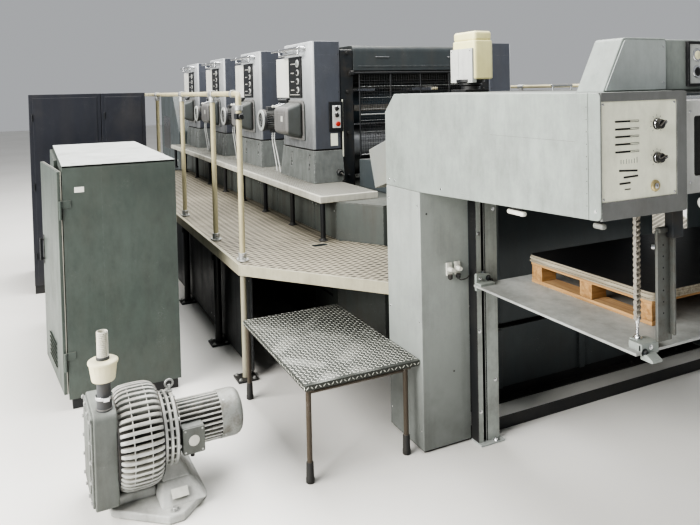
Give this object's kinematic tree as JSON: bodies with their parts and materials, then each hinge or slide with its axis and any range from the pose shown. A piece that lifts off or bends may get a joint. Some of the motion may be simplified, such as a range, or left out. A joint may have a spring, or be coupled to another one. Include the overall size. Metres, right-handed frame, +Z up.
{
  "type": "offset printing press",
  "caption": "Sheet-fed offset printing press: feeder, printing units on a raised base, chain delivery with pile lift, gallery decks, switch cabinets and air pump.",
  "frame": {"origin": "on the floor under the middle of the printing group, on the machine's centreline", "axes": "+X from the feeder to the delivery, -Y to the operator's side, +Z up"},
  "size_m": [9.105, 4.698, 2.09],
  "materials": {
    "housing_paint": "semi-gloss",
    "base_paint": "semi-gloss",
    "cover_paint": "satin, smudged",
    "hood_paint": "satin",
    "step_tread": "worn tread",
    "deck_tread": "worn dirty tread",
    "stool_tread": "checker plate",
    "rail_paint": "worn",
    "black_steel": "semi-gloss",
    "skirt_paint": "satin",
    "frame_dark": "oiled",
    "cylinder_steel": "worn",
    "cover_dark": "semi-gloss",
    "drive_grey": "satin",
    "motor_dark": "painted",
    "key_plate": "satin",
    "chrome": "polished",
    "panel_cream": "satin",
    "knob_black": "gloss",
    "guard_grey": "satin",
    "chain_steel": "oiled",
    "steel_bar": "worn",
    "platform_paint": "satin, scuffed",
    "pallet_wood": "raw",
    "pile_board": "worn dark coating",
    "sprayer_plastic": "aged",
    "desk_grey": "satin",
    "feeder_paint": "semi-gloss",
    "cabinet_paint": "satin",
    "tall_cabinet_paint": "satin",
    "pump_alloy": "dusty cast",
    "motor_alloy": "dusty cast",
    "filter_plastic": "aged"
  },
  "bodies": {
    "press": {"machine_base": "base_paint", "upper_steps": "step_tread", "gallery_decks": "deck_tread", "deck_frames": "black_steel", "deck_skirts": "skirt_paint", "handrail_posts": "rail_paint", "handrail_rails": "rail_paint", "step_stool": "stool_tread", "unit_1_near_housing": "housing_paint", "unit_2_near_housing": "housing_paint", "unit_3_near_housing": "housing_paint", "unit_4_near_housing": "housing_paint", "unit_1_far_housing": "housing_paint", "unit_2_far_housing": "housing_paint", "unit_3_far_housing": "housing_paint", "unit_4_far_housing": "housing_paint", "side_frames": "frame_dark", "unit_1_cylinders": "cylinder_steel", "unit_2_cylinders": "cylinder_steel", "unit_3_cylinders": "cylinder_steel", "unit_4_cylinders": "cylinder_steel", "ink_unit_covers": "cover_dark", "drive_covers": "drive_grey", "fan_motors": "motor_dark", "key_strips": "key_plate", "grab_handles": "chrome", "chain_casing": "cover_dark", "delivery_leg_near": "cover_paint", "delivery_leg_far": "cover_paint", "side_cover_near": "cover_paint", "side_cover_far": "cover_paint", "control_panel": "panel_cream", "console_hoods": "hood_paint", "console_bridge": "guard_grey", "delivery_top": "cover_dark", "guide_posts": "hood_paint", "delivery_beams": "black_steel", "hoist_chains": "chain_steel", "pile_guides": "steel_bar", "powder_sprayer": "sprayer_plastic", "desk_box": "desk_grey", "feeder_frames": "feeder_paint", "feeder_head": "cover_dark", "feed_table": "cover_paint", "switch_cabinet": "cabinet_paint", "tall_cabinets": "tall_cabinet_paint", "pump_casing": "pump_alloy", "pump_motor": "motor_alloy", "pump_filter": "filter_plastic"},
    "pile": {"pile_platform": "platform_paint", "pallet": "pallet_wood", "pile_board": "pile_board"},
    "unit_guard": {"unit_4_guard": "black_steel"},
    "delivery_guard_body": {"delivery_guard": "guard_grey"},
    "cabinet_door": {"switch_cabinet_door": "cabinet_paint"},
    "speed_control": {"speed_knob": "knob_black"},
    "air_control": {"air_knob": "knob_black"}
  },
  "joints": [
    {"name": "pile_lift", "type": "slide", "parent": "press", "child": "pile", "axis": [0, 0, 1], "range_m": [-0.63, 0.24]},
    {"name": "unit_guard_hinge", "type": "hinge", "parent": "press", "child": "unit_guard", "pos_m": [2.2655, 0, 1.843], "axis": [0, -1, 0], "range_deg": [0, 75]},
    {"name": "delivery_guard_hinge", "type": "hinge", "parent": "press", "child": "delivery_guard_body", "pos_m": [5.3165, 0, 1.661], "axis": [0, -1, 0], "range_deg": [0, 80]},
    {"name": "cabinet_door_hinge", "type": "hinge", "parent": "press", "child": "cabinet_door", "pos_m": [3.0065, -2.737, 0.7], "axis": [0, 0, 1], "range_deg": [-6, 100]},
    {"name": "speed_knob_turn", "type": "hinge", "parent": "press", "child": "speed_control", "pos_m": [5.3465, -0.992, 1.583], "axis": [1, 0, 0], "range_deg": [-140, 140]},
    {"name": "air_knob_turn", "type": "hinge", "parent": "press", "child": "air_control", "pos_m": [5.3465, -0.992, 1.471], "axis": [1, 0, 0], "range_deg": [-140, 140]}
  ]
}
